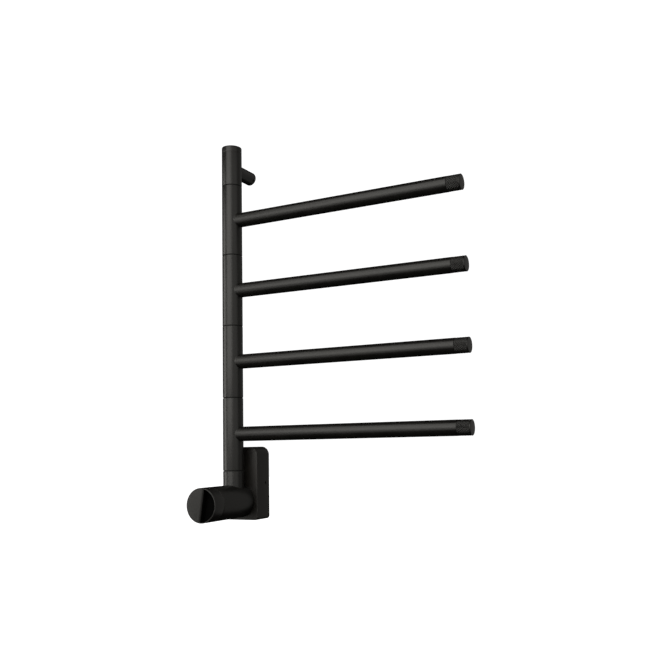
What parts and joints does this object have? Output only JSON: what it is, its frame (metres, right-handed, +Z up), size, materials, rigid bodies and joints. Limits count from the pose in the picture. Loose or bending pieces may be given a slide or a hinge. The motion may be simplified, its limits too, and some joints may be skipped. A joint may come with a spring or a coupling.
{
  "type": "towel rack",
  "caption": "Wall-mounted heated towel rack: a round post with swivelling round arms on a wall box and a housing with a turn knob, satin black.",
  "frame": {"origin": "centre of the wall bracket's screw pattern, on the wall's surface", "axes": "+Y into the wall, +Z up, +X along the wall in the direction the arms point at rest"},
  "size_m": [0.4274, 0.139, 0.6028],
  "materials": {
    "box_black": "satin black coating",
    "housing_black": "satin black coating",
    "post_black": "satin black coating",
    "cap_black": "satin black coating",
    "standoff_black": "satin black coating",
    "arm_black": "satin black coating",
    "tip_black": "satin black coating",
    "knob_black": "satin black coating",
    "screw_black": "black oxide",
    "joint_washer": "matt acetal",
    "bush_polymer": "acetal",
    "insulator": "moulded nylon",
    "lead_sheath": "silicone",
    "zinc_steel": "zinc plated",
    "inner_steel": "plain turned",
    "brass": "turned"
  },
  "bodies": {
    "mast": {"wall_bracket": "zinc_steel", "bracket_lugs": "zinc_steel", "wall_box": "box_black", "box_grub_screws": "screw_black", "terminal_block": "insulator", "terminal_screws": "brass", "housing": "housing_black", "housing_screws": "zinc_steel", "regulator_body": "insulator", "regulator_cover": "insulator", "regulator_nut": "zinc_steel", "internal_leads": "lead_sheath", "lower_sleeve": "post_black", "core_tube": "inner_steel", "core_saddle": "inner_steel", "core_lock_nut": "brass", "wave_washer": "inner_steel", "top_nut": "brass", "top_sleeve": "post_black", "top_cap": "cap_black", "standoff_tube": "standoff_black", "standoff_screw": "zinc_steel", "standoff_spigot": "inner_steel", "standoff_grub_screw": "screw_black", "thrust_washer_1": "joint_washer", "thrust_washer_2": "joint_washer", "thrust_washer_3": "joint_washer", "thrust_washer_4": "joint_washer", "thrust_washer_5": "joint_washer", "stop_collar_1": "inner_steel", "stop_collar_2": "inner_steel", "stop_collar_3": "inner_steel", "stop_collar_4": "inner_steel"},
    "arm_1": {"arm_1_sleeve": "post_black", "arm_1_tube": "arm_black", "arm_1_tip": "tip_black", "arm_1_heater": "inner_steel", "arm_1_upper_bush": "bush_polymer", "arm_1_lower_bush": "bush_polymer"},
    "arm_2": {"arm_2_sleeve": "post_black", "arm_2_tube": "arm_black", "arm_2_tip": "tip_black", "arm_2_heater": "inner_steel", "arm_2_upper_bush": "bush_polymer", "arm_2_lower_bush": "bush_polymer"},
    "arm_3": {"arm_3_sleeve": "post_black", "arm_3_tube": "arm_black", "arm_3_tip": "tip_black", "arm_3_heater": "inner_steel", "arm_3_upper_bush": "bush_polymer", "arm_3_lower_bush": "bush_polymer"},
    "arm_4": {"arm_4_sleeve": "post_black", "arm_4_tube": "arm_black", "arm_4_tip": "tip_black", "arm_4_heater": "inner_steel", "arm_4_upper_bush": "bush_polymer", "arm_4_lower_bush": "bush_polymer"},
    "knob": {"knob": "knob_black", "knob_shaft": "brass", "knob_set_screw": "zinc_steel"}
  },
  "joints": [
    {"name": "arm_1_swivel", "type": "hinge", "parent": "mast", "child": "arm_1", "pos_m": [0, -0.0544, 0.4227], "axis": [0, 0, 1], "range_deg": [-178.2, 1.8]},
    {"name": "arm_2_swivel", "type": "hinge", "parent": "mast", "child": "arm_2", "pos_m": [0, -0.0544, 0.3079], "axis": [0, 0, 1], "range_deg": [-179.6, 0.4]},
    {"name": "arm_3_swivel", "type": "hinge", "parent": "mast", "child": "arm_3", "pos_m": [0, -0.0544, 0.1931], "axis": [0, 0, 1], "range_deg": [-180, 0]},
    {"name": "arm_4_swivel", "type": "hinge", "parent": "mast", "child": "arm_4", "pos_m": [0, -0.0544, 0.0783], "axis": [0, 0, 1], "range_deg": [-180, 0]},
    {"name": "knob_turn", "type": "hinge", "parent": "mast", "child": "knob", "pos_m": [0, -0.139, -0.0274], "axis": [0, 1, 0], "range_deg": [-8.6, 261.4]}
  ]
}
